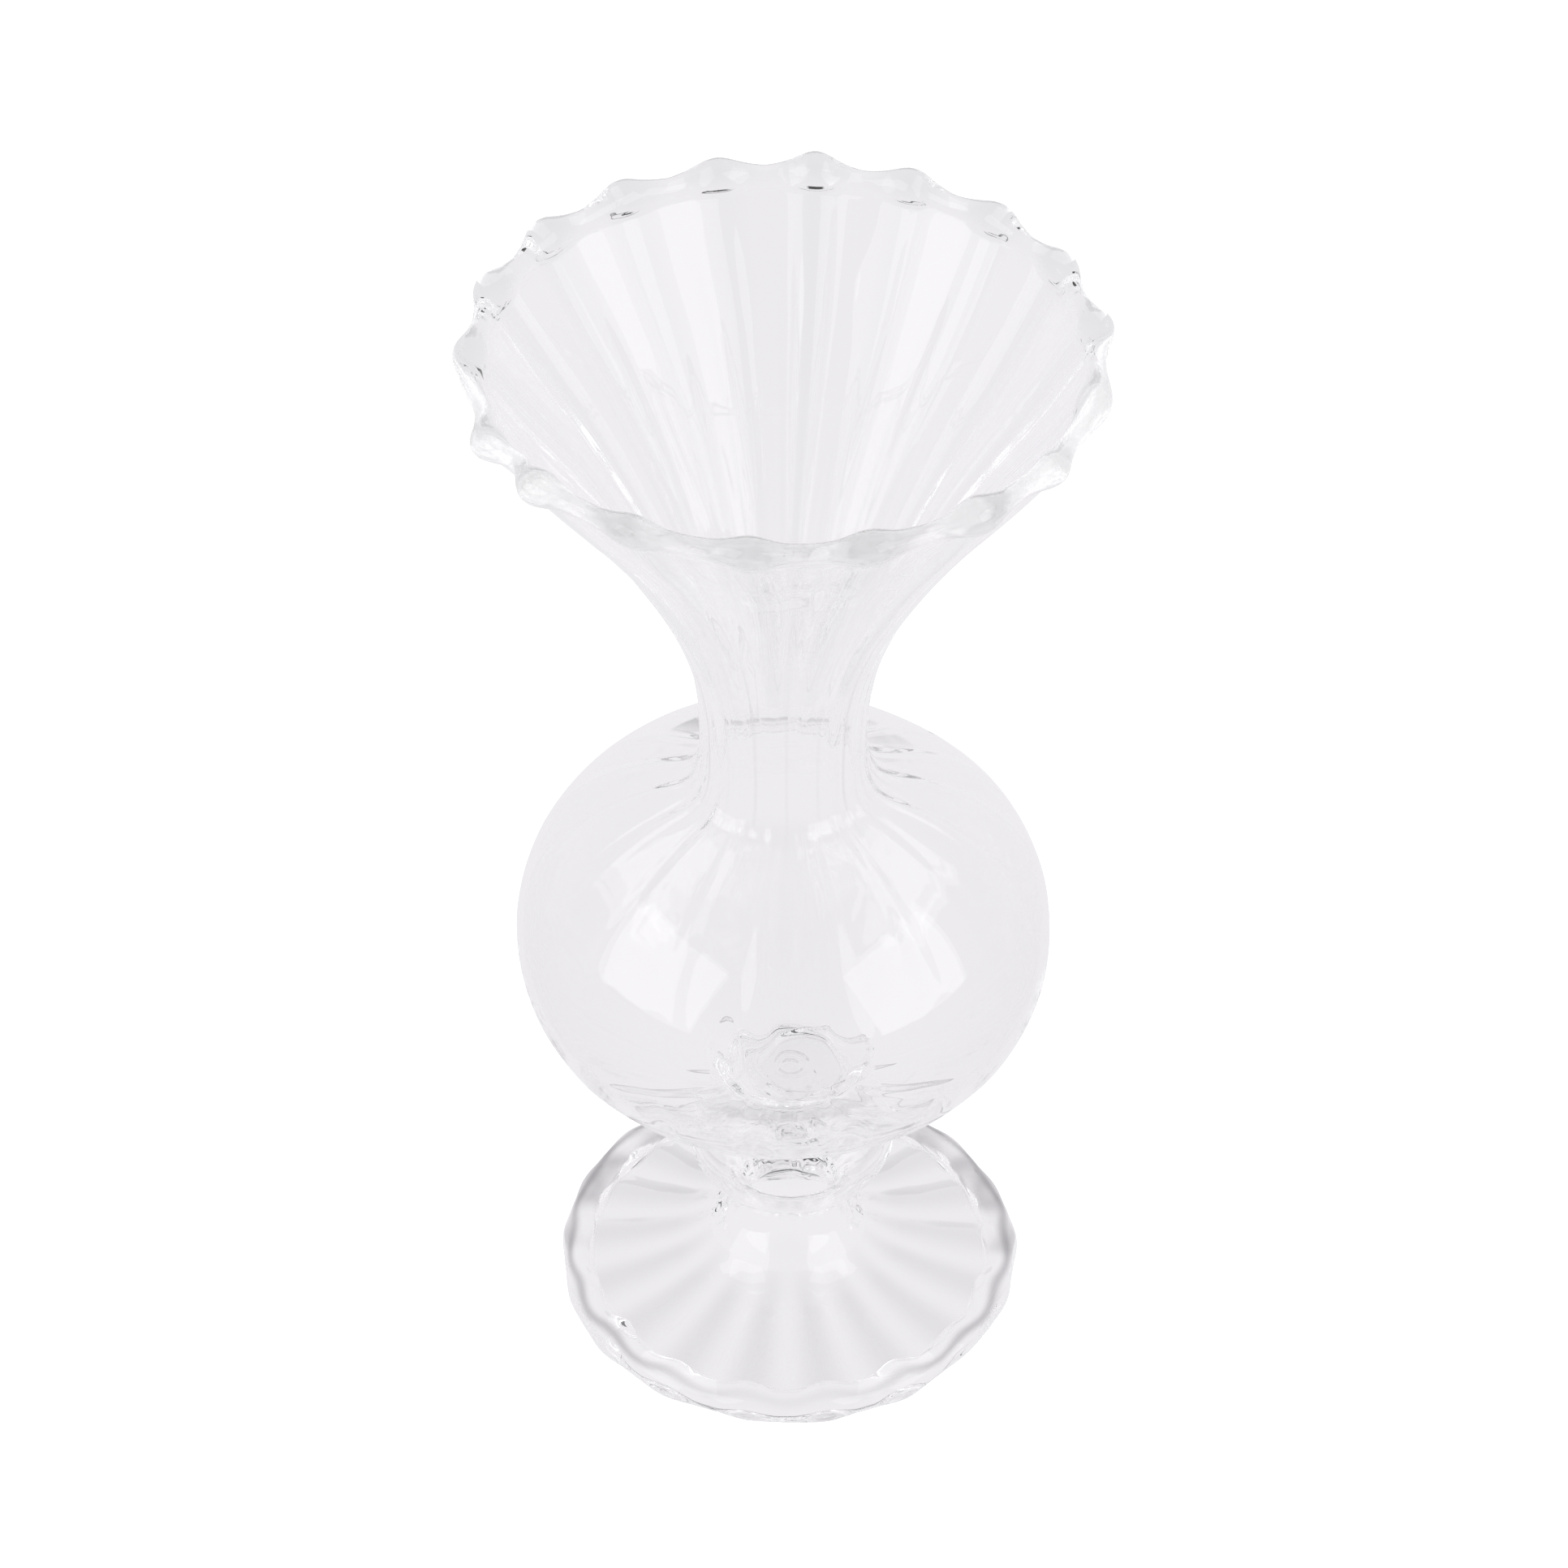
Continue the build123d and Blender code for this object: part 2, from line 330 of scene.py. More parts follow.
def by_radius(*stations):
    """A number for each row, from a few (radius, value) stations."""
    return along(np.interp(radius, *zip(*stations)))


def bump(across, half_width):
    """A rounded ridge: 1 in its middle, 0 from half_width outwards."""
    return np.cos(np.clip(across / half_width, -1, 1) * math.pi / 2) ** 2


def side(around, centre, half_width):
    """1 towards one side of the vase, 0 from half_width away from it. Both in degrees."""
    around = np.mod(around, 2 * math.pi)
    return bump((around - math.radians(centre)) / math.radians(half_width), 1)


def on(*names):
    """1 on the rows of the named legs, 0 elsewhere."""
    return along(np.isin(leg_of, names))


turn = angle + by_height((0, SWIRL), (40, SWIRL / 2), (60, 0))
# near the rim a few ribs lean to one side
leaning = math.radians(6) * side(turn, 201, 22) - math.radians(4) * side(turn, 336, 24)
leaning *= by_height((118, 0), (145, 1))
rib_phase = (turn - DRIFT * np.cos(turn) - leaning - FIRST_RIB) / PITCH
across = rib_phase - np.round(rib_phase)
strength = 1 + 0.2 * np.sin(5 * turn + 1.0) + 0.12 * np.sin(8 * turn + 2.6)

outer_wall = on("globe_outside", "neck_outside", "mouth_outside")
inner_wall = on("globe_inside", "neck_inside", "mouth_inside")
rim, foot_edge, plate = on("rim"), on("foot_bead"), on("disc_top")

rib_depth = by_height(
    (THROAT, 0.1), (46, 0.12), (56, 0.06), (64, 0.03), (72, 0.09), (80, 0.36), (85, 0.46),
    (89, 0.46), (91, 0.32), (95, 0.12), (98, 0.08), (103, 0.08), (NECK_TOP, 0.14),
    (130, 0.38), (150, 0.55), (RIM_JOIN, 0.4),
)
outer_rib = rib_depth * (outer_wall + rim) + FAINT_RIB * on("knop_outside", "stem_outside")
inner_rib = by_height(
    (41, 0.05), (47, 0.25), (55, 0.2), (62, 0), (NECK_FOOT, 0), (NECK_TOP, 0.05),
    (135, 0.2), (RIM_JOIN, 0.32),
)
inner_rib *= inner_wall + rim
spread = by_height(
    (50, 0.5), (60, 0.42), (72, 0.32), (80, 0.22), (90, 0.22), (98, 0.42), (125, RIB_HALF_WIDTH)
)
crisp = by_height((70, 1.0), (78, 0.9), (90, 0.9), (100, 1.0), (130, 0.65))
ridge = bump(across, spread) ** crisp * strength
# the ribs fade out in front of the globe's middle
ridge *= 1 - FRONT_FADE * side(turn, FRONT, FADE_SPREAD) * bump(along(height - 66), 16)
# on its shoulder they are strong in front and have melted away behind
shoulder = on("globe_outside", "neck_outside") * by_height((66, 0), (76, 1), (90, 1), (94, 0))
towards_front = 0.5 - 0.5 * np.sin(turn + math.radians(8))
ridge *= 1 - shoulder * (1 - np.clip(2.2 * towards_front - 1.2, BEHIND, 1))
push = outer_rib * ridge + inner_rib * bump(across, INNER_RIB) * strength
# the neck is pleated: inside it the wall follows the ribs outside
pleat = by_height((89, 0.3), (93, 0.9), (122, 0.9), (140, 0))
push -= pleat * rib_depth * inner_wall * ridge

# the foot's plate is drawn into broad soft ribs, faint at the stem
plate_rib = by_radius((12, 0), (18, 0.5), (27, 0.6), (FOOT_JOIN, 0.45)) * plate
push += plate_rib * bump(across, PLATE_RIB) * strength
# they run over its rolled edge, which is also a little out of round
edge_rib = foot_edge * by_radius((FOOT_JOIN - 1, 0.45), (28.6, 0.9), (30.3, 0.5), (31.5, 0.3))
edge_rib *= np.where(along(radius) > 31, 1, by_height((1.5, 0.2), (3, 1)))
push += edge_rib * bump(across, EDGE_RIB) * strength
push += EDGE_WAVE * foot_edge * by_radius((29, 0), (31, 1)) * (
    np.sin(3 * angle + 0.6) + 0.8 * np.sin(5 * angle + 2.0) + 0.6 * np.sin(11 * angle)
)

# a droplet of melted glass hangs on the end of each rib
along_rim = along(np.arange(len(outline)) - (FIRST_ROW["rim"] + LAST_ROW["rim"]) / 2)
reach = (LAST_ROW["rim"] - FIRST_ROW["rim"]) / 2
at_rim = bump(along_rim, reach * 1.35)
drop = bump(across, DROP) ** 0.75
push += DROP_SWELL * at_rim * drop * (0.85 + 0.15 * strength)
scallop_out = DROP_OUT + LEFT_DROP_OUT * side(turn, 206, 32)
scallop_out = (scallop_out + RIGHT_DROP_OUT * side(turn, 324, 20)) * drop
scallop_out *= bump(along_rim, reach * 2.6)
scallop_up = DROP_UP * bump(along_rim, reach * 1.8) * drop

# ribs show faintly where the knop's hollow narrows into the stem
knop_foot = on("knop_inside", "stem_bore") * bump(along(height - KNOP_FOOT), 3)
push += KNOP_FOOT_RIB * knop_foot * ridge

# slow unevenness from handwork
rows_up = along(height)
uneven = WALL_WAVE * np.sin(3 * angle + rows_up / 9) * np.sin(rows_up / 13)
uneven += OVAL_WAVE * np.sin(2 * angle + 1.1 - rows_up / 17)
uneven *= by_height((10, 0), (30, 1)) * by_radius((8, 0), (20, 1))
uneven -= TAPER * bump(rows_up - 46, 10)
uneven -= DENT * bump(rows_up - 86, 9) * side(angle, 48, DENT_SPREAD)
facing_in = inner_wall + on("knop_inside", "stem_bore")
push += uneven * np.where(facing_in > 0, -1, 1)

grid_r = along(radius) + outward[:, 0:1] * push + scallop_out
grid_z = along(height) + outward[:, 1:2] * push + scallop_up
grid_r[0] = grid_r[-1] = 0
grid_z[0] = grid_z[0].mean()
grid_z[-1] = grid_z[-1].mean()

# the melted lump on the vessel's floor: a crooked ring, a nub in it and a lobe beside it
RING_X, RING_Y, RING_RADIUS, RING_HEIGHT, RING_WIDTH = 2.9, -0.6, 7.1, 1.0, 0.6
NUB_X, NUB_Y, NUB_HEIGHT, NUB_WIDTH = 0.45, -1.0, 0.7, 0.9
COLLAR_RADIUS, COLLAR_HEIGHT, COLLAR_WIDTH = 2.3, 0.3, 0.45     # a low ring round the nub
LOBE_X, LOBE_Y, LOBE_LONG_X, LOBE_LONG_Y = -8.0, 2.4, 2.1, 4.6
LOBE_HEIGHT, LOBE_EDGE, LOBE_WIDTH = 1.0, 0.9, 0.3
TAIL_X, TAIL_BEND, TAIL_START, TAIL_LONG = 3.4, 2.4, 1, 8
TAIL_HEIGHT, TAIL_WIDTH = 0.35, 0.6
flat_x, flat_y = grid_r * np.cos(angle), grid_r * np.sin(angle)
from_ring = np.hypot(flat_x - RING_X, flat_y - RING_Y)
ring_turn = np.arctan2(flat_y - RING_Y, flat_x - RING_X)
ring = RING_RADIUS + 0.3 * np.sin(2 * ring_turn + 1.0) + 0.12 * np.sin(5 * ring_turn)
relief = RING_HEIGHT * ridge_at(from_ring - ring, RING_WIDTH)
from_nub = np.hypot(flat_x - NUB_X, flat_y - NUB_Y)
relief += NUB_HEIGHT * ridge_at(from_nub, NUB_WIDTH)
relief += COLLAR_HEIGHT * ridge_at(from_nub - COLLAR_RADIUS, COLLAR_WIDTH)
from_lobe = np.hypot((flat_x - LOBE_X) / LOBE_LONG_X, (flat_y - LOBE_Y) / LOBE_LONG_Y)
relief += LOBE_HEIGHT * ridge_at(from_lobe - LOBE_EDGE, LOBE_WIDTH)
down_tail = np.clip((-flat_y - TAIL_START) / TAIL_LONG, 0, 1)
tail = ridge_at(flat_x - TAIL_X - TAIL_BEND * down_tail, TAIL_WIDTH)
relief += TAIL_HEIGHT * tail * bump(down_tail - 0.5, 0.5)
floor_side = along(height < GLOBE_CENTRE)
relief *= np.interp(grid_r, [11.5, 14], [1, 0]) * on("seal_top", "globe_inside") * floor_side
grid_z = np.maximum(grid_z + relief, 0)     # the foot stands flat

# painted shade, partly the real darkening of thicker glass: 0 in the thin walls, 1 in the heaviest
# lumps and the deepest painted shade
# strengths of each painted shade
RIM_SHADE, PLATE_SHADE, PLATE_RIB_SHADOW, MOUTH_RIB_SHADE = 0.95, 0.04, 0.32, 0.25
CREASE_SHADE, GLOBE_SIDE_SHADE, LUMP_SHADE = 0.8, 0.14, 0.22
ROLL_TURN, ROLL_WAVE, ROLL_SPREAD, ROLL_FRONT_FADE = 64, 10, 30, 0.8    # the first three in degrees
CREASE_AT, CREASE_WIDTH = 0.38, 0.1                                     # of the pitch
# painted shade on the rim's droplets, partly the real tint of their thick glass, left out in the
# gaps between them and strongest on the front side
gap = bump(abs(across) - 0.5, 0.2) * bump(along_rim - reach * 0.4, reach * 0.5)
thickness_and_shade = RIM_SHADE * at_rim * (0.3 + 0.7 * drop) * (1 - gap) * (0.75 - 0.25 * np.sin(turn))
# painted shadows of the plate's ribs, as cast on the table under the foot, over a faint painted
# shade on the whole plate
plate_shadow = PLATE_SHADE + PLATE_RIB_SHADOW * bump(across, PLATE_RIB)
thickness_and_shade += plate * by_radius((10, 0), (16, 1)) * plate_shadow
# painted contact shadow in the foot's rolled edge: a wavy band round it, dark at the sides and
# faded in front
bead_up, bead_out = abs(rows_up - FOOT_BEAD_HEIGHT), along(radius - FOOT_BEAD_CENTRE)
bead_turn = np.degrees(np.arctan2(bead_up, bead_out))
edge_shadow = bead_turn - ROLL_TURN - ROLL_WAVE * np.cos(rib_phase * 2 * math.pi)
edge_shadow = bump(edge_shadow / ROLL_SPREAD, 1)
thickness_and_shade += foot_edge * edge_shadow * (1 - ROLL_FRONT_FADE * side(angle, FRONT, EDGE_FRONT_SPREAD))
# painted shade along the funnel's ribs, partly the real tint of their thicker glass
thickness_and_shade += MOUTH_RIB_SHADE * on("mouth_outside") * ridge
# painted shade in the creases of the pleated neck, at one side of each rib and stronger at the left
# and right
crease_shade = outer_wall * by_height((91, 0), (97, 1), (118, 1), (140, 0.3), (155, 0))
crease_shade = crease_shade * (0.45 + 0.55 * abs(np.cos(turn))) * (0.6 + 0.4 * np.sin(7 * turn + 1.3))
thickness_and_shade += CREASE_SHADE * crease_shade * bump(across - CREASE_AT, CREASE_WIDTH)
# painted shade at the globe's left and right sides, where its wall is seen edge-on
globe_side_shade = on("globe_inside", "globe_outside") * bump(rows_up - 62, 22)
thickness_and_shade += GLOBE_SIDE_SHADE * globe_side_shade * np.cos(turn) ** 2
# the melted lump on the floor darker inside its ring, partly the real tint of its thick glass and
# partly painted shade
lump_shade = on("seal_top", "globe_inside", "seal_under") * floor_side
thickness_and_shade += LUMP_SHADE * np.interp(from_ring - ring, [-0.5, 1.5], [1, 0]) * lump_shade
thickness_and_shade = np.clip(thickness_and_shade, 0, 1)

# a slight lean: each section's own centre moves along x
lean_x = by_height(
    (0, 0.55), (10, 0.6), (29, 1.2), (45, 0.0), (115, 0.0), (148, 0.6), (HEIGHT, 0.15)
)
grid = np.stack([grid_r * np.cos(angle) + lean_x, grid_r * np.sin(angle), grid_z], axis=2)

# one set of normals for the whole vase, so that no join shows
d_row = np.gradient(grid, axis=0)
d_column = np.roll(grid, -1, axis=1) - np.roll(grid, 1, axis=1)
normals = np.cross(d_row, d_column)
NO_LENGTH = 1e-9
lengths = np.linalg.norm(normals, axis=2, keepdims=True)
normals = np.where(lengths > NO_LENGTH, normals / np.maximum(lengths, NO_LENGTH), 0)
normals[0] = (0, 0, 1)
normals[-1] = (0, 0, -1)
if normals[shoulder_row, 0, 0] < 0:
    normals[1:-1] *= -1


# ---------------------------------------------------------------- meshes
def quads(first, last):
    """Corner numbers of every face between two rows of the grid."""
    rows = np.arange(first, last)[:, None] * COLUMNS
    here = np.arange(COLUMNS)[None, :]
    there = (here + 1) % COLUMNS
    faces = np.stack(
        [rows + here, rows + COLUMNS + here, rows + COLUMNS + there, rows + there], axis=2
    )
    return faces.reshape(-1, 4)


def bridge(end, start):
    """Faces straight across the glass, from the row where a wall ends to where one starts."""
    here = np.arange(COLUMNS)
    there = (here + 1) % COLUMNS
    a, b = end * COLUMNS, start * COLUMNS
    return np.stack([a + here, b + here, b + there, a + there], axis=1)


points = grid.reshape(-1, 3) * MM
point_normals = normals.reshape(-1, 3)


def make_piece(name, node, legs, joins, skin):
    """A closed mesh from some legs of the grid and the joins across the glass."""
    walls = np.vstack([quads(FIRST_ROW[leg], LAST_ROW[leg]) for leg in legs])
    ends = [LAST_ROW[leg] for leg in legs]
    caps = np.vstack([bridge(a, b) if a in ends else bridge(b, a) for a, b in joins])
    used, faces = np.unique(np.vstack([walls, caps]), return_inverse=True)
    keep = np.arange(len(used))
    for row in (0, len(outline) - 1):      # the rows on the axis are single points
        ring_points = np.flatnonzero(used // COLUMNS == row)
        keep[ring_points] = ring_points[:1]
    faces = keep[faces.reshape(-1, 4)]
    polygons = [list(dict.fromkeys(face)) for face in faces.tolist()]
    mesh = bpy.data.meshes.new(name)
    mesh.from_pydata(points[used].tolist(), [], polygons)
    mesh.update()
    mesh.validate()
    is_cap = np.zeros(len(polygons), bool)
    is_cap[len(walls):] = True
    mesh.polygons.foreach_set("use_smooth", ~is_cap)
    mesh.polygons.foreach_set("material_index", is_cap.astype(np.int32))

    # the walls take the vase's own normals, and the caps are flat
    corners = np.empty(len(mesh.loops), np.int32)
    mesh.loops.foreach_get("vertex_index", corners)
    starts = np.empty(len(mesh.polygons), np.int32)
    mesh.polygons.foreach_get("loop_start", starts)
    sizes = np.diff(np.r_[starts, len(corners)])
    face_normals = np.empty(len(mesh.polygons) * 3)
    mesh.polygons.foreach_get("normal", face_normals)
    face_normals = face_normals.reshape(-1, 3)
    corner_normals = point_normals[used][corners]
    cap_corners = np.repeat(is_cap, sizes)
    corner_normals[cap_corners] = np.repeat(face_normals, sizes, axis=0)[cap_corners]
    mesh.normals_split_custom_set(corner_normals.tolist())

    mesh.materials.append(skin)
    mesh.materials.append(fused_join)
    # each point's painted shade, partly the darkening of thick glass, goes with the mesh as an
    # attribute
    shade_attribute = mesh.attributes.new("thickness_and_shade", "FLOAT", "POINT")
    shade_attribute.data.foreach_set("value", thickness_and_shade.reshape(-1)[used].astype(np.float32))
    piece = bpy.data.objects.new(name, mesh)
    bpy.context.scene.collection.objects.link(piece)
    piece.visible_shadow = False           # clear glass leaves the floor bright
    piece.visible_diffuse = False
    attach(piece, "root")
    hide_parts(node)


# ---------------------------------------------------------------- materials
THIN, THIN_FOOT = 0.99, 0.985                  # how clear the glass is where it is thin
MOUTH_SHADE = (0.76, 0.775, 0.76, 1)           # and the colours of its painted shade at full strength, partly the darkening of thick glass
BODY_SHADE = (0.72, 0.715, 0.725, 1)
FOOT_SHADE = (0.40, 0.395, 0.405, 1)
GLASS_IOR = 1.47
FLOW_STRETCH = (1, 1, 0.25)                    # the flow lines run up and down
FLOW_SCALE, FLOW_DETAIL = 160, 2
FLOW_STRENGTH, FLOW_DEPTH = 0.03, 0.0004


def glass(name, thin, shaded):
    """Clear glass with faint flow lines in its skin, darkened where painted shade lies on it,
    partly as thick glass darkens.
    """
    material = bpy.data.materials.new(name)
    material.use_nodes = True
    nodes, links = material.node_tree.nodes, material.node_tree.links
    skin = nodes["Principled BSDF"]
    skin.inputs["Transmission Weight"].default_value = 1
    skin.inputs["Roughness"].default_value = 0
    skin.inputs["IOR"].default_value = GLASS_IOR
    # the painted shade, read from the vase's attribute, mixes the clear colour towards the shaded
    # one
    shade_attribute = nodes.new("ShaderNodeAttribute")
    shade_attribute.attribute_name = "thickness_and_shade"
    shade_mix = nodes.new("ShaderNodeMix")
    shade_mix.data_type = "RGBA"
    shade_mix.inputs["A"].default_value = (thin, thin, thin, 1)
    shade_mix.inputs["B"].default_value = shaded
    links.new(shade_attribute.outputs["Fac"], shade_mix.inputs["Factor"])
    links.new(shade_mix.outputs["Result"], skin.inputs["Base Color"])
    place = nodes.new("ShaderNodeTexCoord")
    stretch = nodes.new("ShaderNodeMapping")
    stretch.inputs["Scale"].default_value = FLOW_STRETCH
    flow = nodes.new("ShaderNodeTexNoise")
    flow.inputs["Scale"].default_value = FLOW_SCALE
    flow.inputs["Detail"].default_value = FLOW_DETAIL
    bumps = nodes.new("ShaderNodeBump")
    bumps.inputs["Strength"].default_value = FLOW_STRENGTH
    bumps.inputs["Distance"].default_value = FLOW_DEPTH
    links.new(place.outputs["Object"], stretch.inputs["Vector"])
    links.new(stretch.outputs["Vector"], flow.inputs["Vector"])
    links.new(flow.outputs["Fac"], bumps.inputs["Height"])
    links.new(bumps.outputs["Normal"], skin.inputs["Normal"])
    return material


def clear_join():
    """The inside of a melted join, which can't be seen in the glass."""
    material = bpy.data.materials.new("fused_join")
    material.use_nodes = True
    nodes, links = material.node_tree.nodes, material.node_tree.links
    nodes.remove(nodes["Principled BSDF"])
    clear = nodes.new("ShaderNodeBsdfTransparent")
    links.new(clear.outputs["BSDF"], nodes["Material Output"].inputs["Surface"])
    return material


fused_join = clear_join()
mouth_skin = glass("mouth_glass", THIN, MOUTH_SHADE)
body_skin = glass("body_glass", THIN, BODY_SHADE)
foot_skin = glass("foot_glass", THIN_FOOT, FOOT_SHADE)

# the joins, each between a row on one side of the glass and a row on the other
RIM_SEAM = (FIRST_ROW["rim"], LAST_ROW["rim"])
NECK_TOP_SEAM = (LAST_ROW["neck_inside"], FIRST_ROW["neck_outside"])
NECK_FOOT_SEAM = (LAST_ROW["globe_inside"], FIRST_ROW["globe_outside"])
SEAL_EDGE = LAST_ROW["seal_top"]
THROAT_OUT, THROAT_IN = FIRST_ROW["knop_outside"], LAST_ROW["knop_inside"]
KNOP_FOOT_SEAM = (FIRST_ROW["stem_outside"], FIRST_ROW["knop_inside"])
STEM_FOOT_SEAM = (FIRST_ROW["disc_top"], LAST_ROW["disc_under"])
FOOT_SEAM = (FIRST_ROW["foot_bead"], LAST_ROW["foot_bead"])

make_piece("rim_glass", "rim_bead", ["rim"], [RIM_SEAM], mouth_skin)
make_piece("mouth_glass", "trumpet_mouth", ["mouth_inside", "mouth_outside"],
           [RIM_SEAM, NECK_TOP_SEAM], mouth_skin)
make_piece("neck_glass", "neck", ["neck_inside", "neck_outside"],
           [NECK_TOP_SEAM, NECK_FOOT_SEAM], body_skin)
make_piece("globe_glass", "globe", ["globe_inside", "globe_outside"],
           [NECK_FOOT_SEAM, (SEAL_EDGE, THROAT_OUT)], body_skin)
make_piece("seal_glass", "floor_seal", ["seal_top", "seal_under"],
           [(SEAL_EDGE, THROAT_IN)], body_skin)
make_piece("knop_glass", "knop", ["knop_outside", "knop_inside"],
           [(THROAT_OUT, THROAT_IN), KNOP_FOOT_SEAM], body_skin)
make_piece("stem_glass", "stem", ["stem_outside", "stem_bore"],
           [KNOP_FOOT_SEAM, STEM_FOOT_SEAM], body_skin)
make_piece("disc_glass", "foot_disc", ["disc_top", "disc_under"],
           [STEM_FOOT_SEAM, FOOT_SEAM], foot_skin)
make_piece("foot_glass", "foot_rim", ["foot_bead"], [FOOT_SEAM], foot_skin)


# ---------------------------------------------------------------- stage, light, camera
FLOOR_HALF = 3.0
FLOOR_DROP = 0.0002      # below the foot, so that the two don't touch
FLOOR_GLOW = 0.5


def white_floor():
    """A white table, which is seen directly but not in or through the glass."""
    mesh = bpy.data.meshes.new("floor")
    mesh.from_pydata(
        [(-FLOOR_HALF, -FLOOR_HALF, 0), (FLOOR_HALF, -FLOOR_HALF, 0),
         (FLOOR_HALF, FLOOR_HALF, 0), (-FLOOR_HALF, FLOOR_HALF, 0)],
        [], [(0, 1, 2, 3)],
    )
    material = bpy.data.materials.new("floor_white")
    material.use_nodes = True
    paint = material.node_tree.nodes["Principled BSDF"]
    paint.inputs["Base Color"].default_value = (0.9, 0.9, 0.9, 1)
    paint.inputs["Roughness"].default_value = 1
    paint.inputs["Specular IOR Level"].default_value = 0
    paint.inputs["Emission Color"].default_value = (1, 1, 1, 1)
    paint.inputs["Emission Strength"].default_value = FLOOR_GLOW
    mesh.materials.append(material)
    floor = bpy.data.objects.new("floor", mesh)
    floor.location.z = -FLOOR_DROP
    floor.visible_transmission = False
    floor.visible_glossy = False
    bpy.context.scene.collection.objects.link(floor)


def direction(azimuth, elevation):
    """A unit vector. Azimuth 0 is +Y and 90 is +X, both angles in degrees."""
    az, el = math.radians(azimuth), math.radians(elevation)
    return Vector((math.sin(az) * math.cos(el), math.cos(az) * math.cos(el), math.sin(el)))


SOFTBOX_SIDE, SOFTBOX_DISTANCE, SOFTBOX_POWER = 1.05, 1.3, 3.7
SOFTBOX_AZIMUTH, SOFTBOX_ELEVATION = 121, 26


def softbox(name, azimuth):
    """A square lamp that faces the vase."""
    lamp = bpy.data.lights.new(name, "AREA")
    lamp.shape = "RECTANGLE"
    lamp.size = lamp.size_y = SOFTBOX_SIDE
    lamp.energy = SOFTBOX_POWER
    towards = direction(azimuth, SOFTBOX_ELEVATION)
    box = bpy.data.objects.new(name, lamp)
    box.location = Vector((0, 0, HEIGHT / 2 * MM)) + towards * SOFTBOX_DISTANCE
    box.rotation_euler = (-towards).to_track_quat("-Z", "Y").to_euler()
    box.visible_camera = False
    bpy.context.scene.collection.objects.link(box)


white_floor()
softbox("softbox_left", -SOFTBOX_AZIMUTH)
softbox("softbox_right", SOFTBOX_AZIMUTH)

# the room: a pale backdrop all round, dimmer behind the camera, and a dark strip
# beyond the table's far edge, under the backdrop. Each edge of the strip goes from nothing
# to full between two values of a direction's x, y or z.
BACKDROP = (0.87, 0.855, 0.88, 1)
DIM, DARK = (0.60, 0.59, 0.60, 1), (0.01, 0.01, 0.01, 1)
DIM_AZIMUTH, DIM_ELEVATION, DIM_EDGE, DIM_CORE = 180, 45, 50, 15
STRIP_BOTTOM, STRIP_TOP = (-0.07, -0.02), (0.33, 0.26)
STRIP_SIDES, STRIP_BEHIND = (0.28, 0.18), (0.0, 0.3)
world = bpy.data.worlds.new("studio")
bpy.context.scene.world = world
world.use_nodes = True
sky_nodes, sky_links = world.node_tree.nodes, world.node_tree.links


def ramp(value, start, end):
    """0 at start, 1 at end, with soft shoulders."""
    edge = sky_nodes.new("ShaderNodeMapRange")
    edge.interpolation_type = "SMOOTHSTEP"
    edge.inputs["From Min"].default_value = start
    edge.inputs["From Max"].default_value = end
    sky_links.new(value, edge.inputs["Value"])
    return edge.outputs["Result"]


def both(a, b):
    """The product of two values."""
    product = sky_nodes.new("ShaderNodeMath")
    product.operation = "MULTIPLY"
    sky_links.new(a, product.inputs[0])
    sky_links.new(b, product.inputs[1])
    return product.outputs[0]


def blend_to(colour, factor):
    """A mix that goes to a colour as the factor goes to 1."""
    mix = sky_nodes.new("ShaderNodeMix")
    mix.data_type = "RGBA"
    mix.inputs["B"].default_value = colour
    sky_links.new(factor, mix.inputs["Factor"])
    return mix


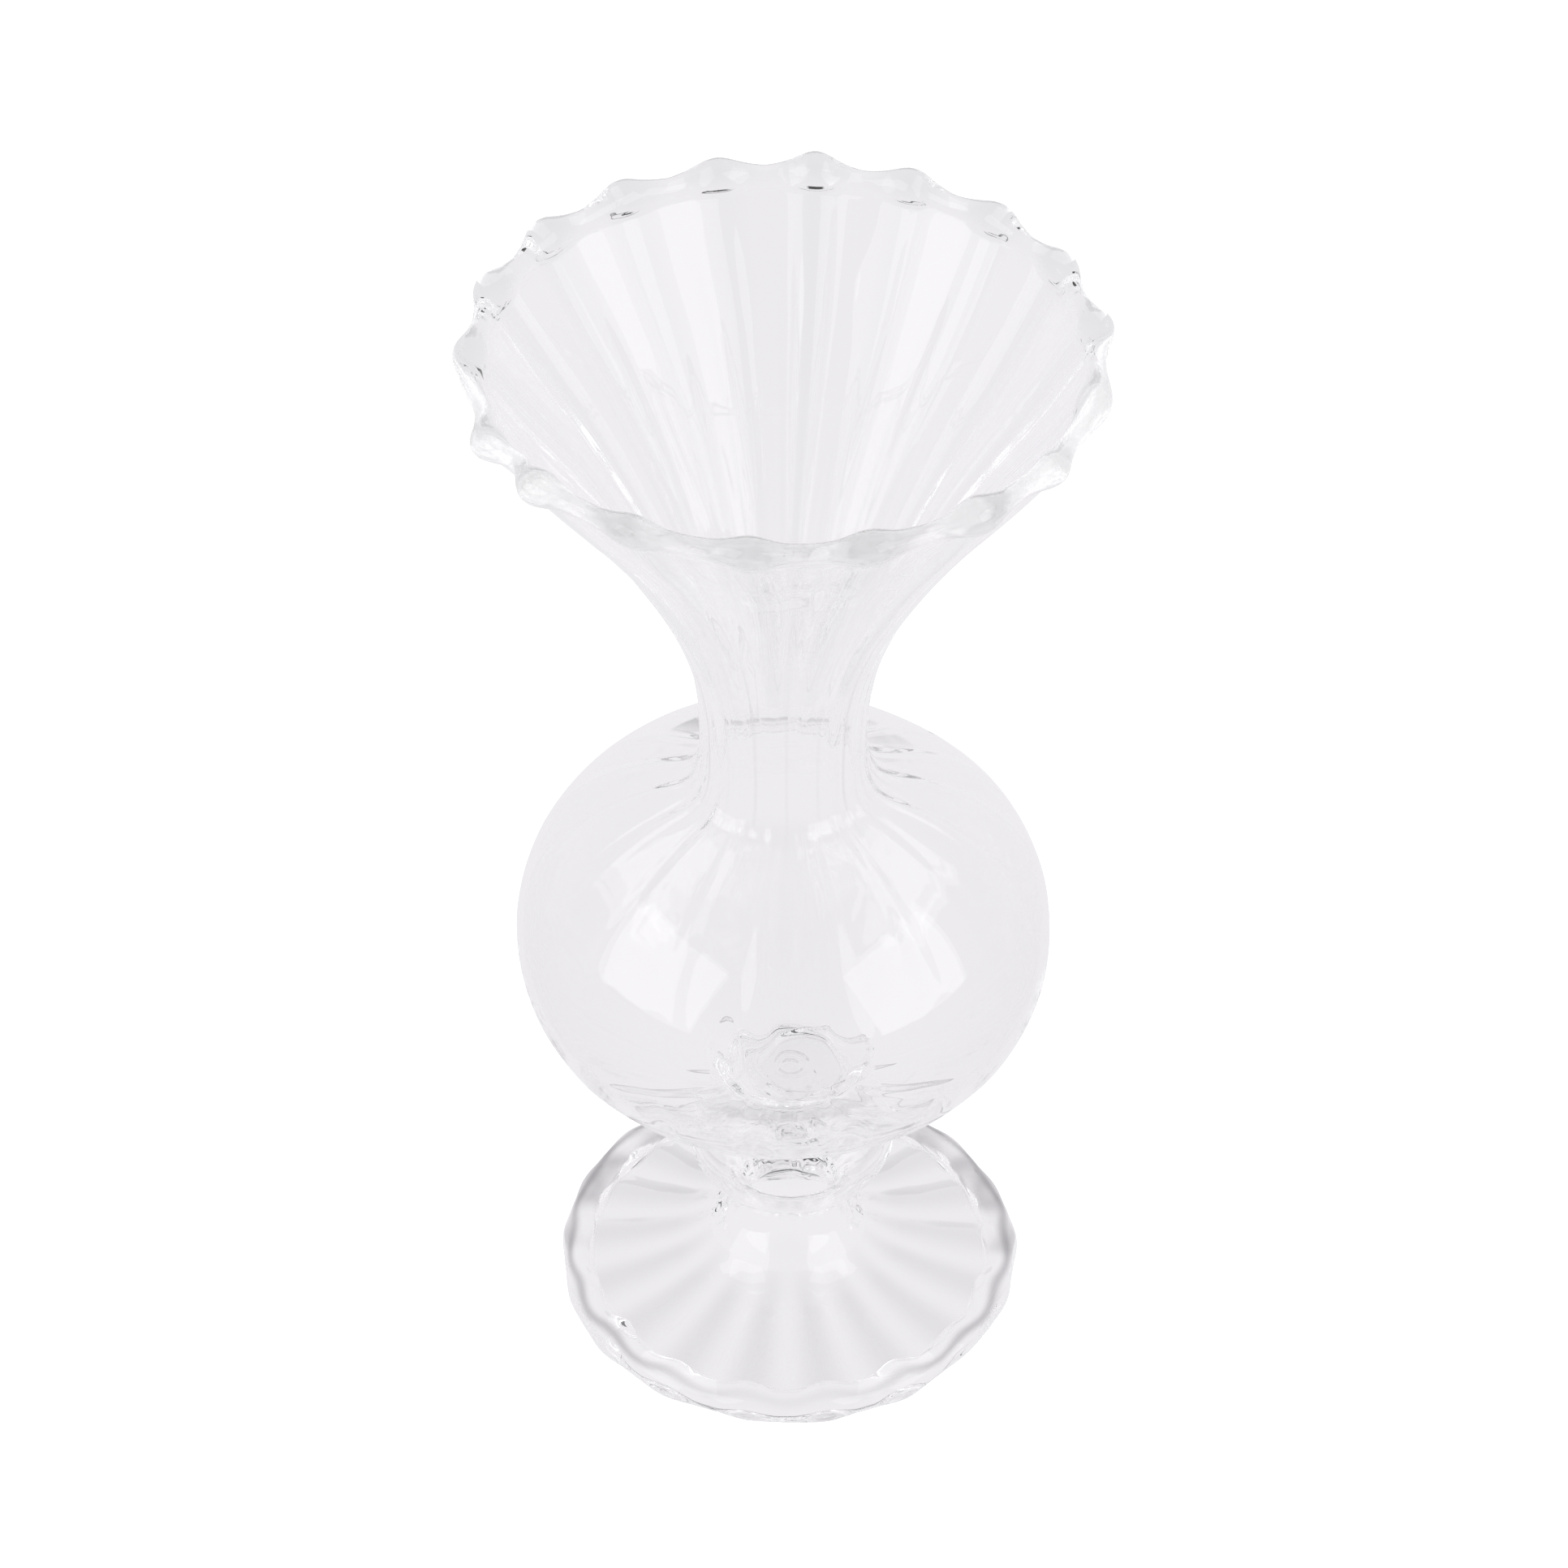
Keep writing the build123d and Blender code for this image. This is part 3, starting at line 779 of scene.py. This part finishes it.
facing = sky_nodes.new("ShaderNodeTexCoord").outputs["Generated"]
towards_dim = sky_nodes.new("ShaderNodeVectorMath")
towards_dim.operation = "DOT_PRODUCT"
towards_dim.inputs[1].default_value = direction(DIM_AZIMUTH, DIM_ELEVATION)
sky_links.new(facing, towards_dim.inputs[0])
dim = blend_to(DIM, ramp(
    towards_dim.outputs["Value"],
    math.cos(math.radians(DIM_EDGE)), math.cos(math.radians(DIM_CORE)),
))
dim.inputs["A"].default_value = BACKDROP

sideways = sky_nodes.new("ShaderNodeVectorMath")
sideways.operation = "ABSOLUTE"
sky_links.new(facing, sideways.inputs[0])
from_middle = sky_nodes.new("ShaderNodeSeparateXYZ")
sky_links.new(sideways.outputs[0], from_middle.inputs[0])
axes = sky_nodes.new("ShaderNodeSeparateXYZ")
sky_links.new(facing, axes.inputs[0])
strip = both(ramp(axes.outputs["Z"], *STRIP_BOTTOM), ramp(axes.outputs["Z"], *STRIP_TOP))
strip = both(strip, ramp(from_middle.outputs["X"], *STRIP_SIDES))
strip = both(strip, ramp(axes.outputs["Y"], *STRIP_BEHIND))
dark = blend_to(DARK, strip)
sky_links.new(dim.outputs["Result"], dark.inputs["A"])
sky_links.new(dark.outputs["Result"], sky_nodes["Background"].inputs["Color"])

CAMERA_ELEVATION = math.radians(41.4)
CAMERA_DISTANCE, CAMERA_TARGET, CAMERA_LENS = 0.8477, 0.0914, 144.7
camera_data = bpy.data.cameras.new("camera")
camera_data.lens = CAMERA_LENS
camera_data.clip_start = 0.05
camera = bpy.data.objects.new("camera", camera_data)
camera.location = (
    0,
    -CAMERA_DISTANCE * math.cos(CAMERA_ELEVATION),
    CAMERA_TARGET + CAMERA_DISTANCE * math.sin(CAMERA_ELEVATION),
)
camera.rotation_euler = (math.pi / 2 - CAMERA_ELEVATION, 0, 0)
bpy.context.scene.collection.objects.link(camera)
bpy.context.scene.camera = camera

# light bounces many times inside thick glass before it leaves
BOUNCES = 96
bpy.context.scene.view_settings.view_transform = "Standard"
cycles = bpy.context.scene.cycles
cycles.max_bounces = cycles.transmission_bounces = BOUNCES
cycles.transparent_max_bounces = cycles.glossy_bounces = BOUNCES
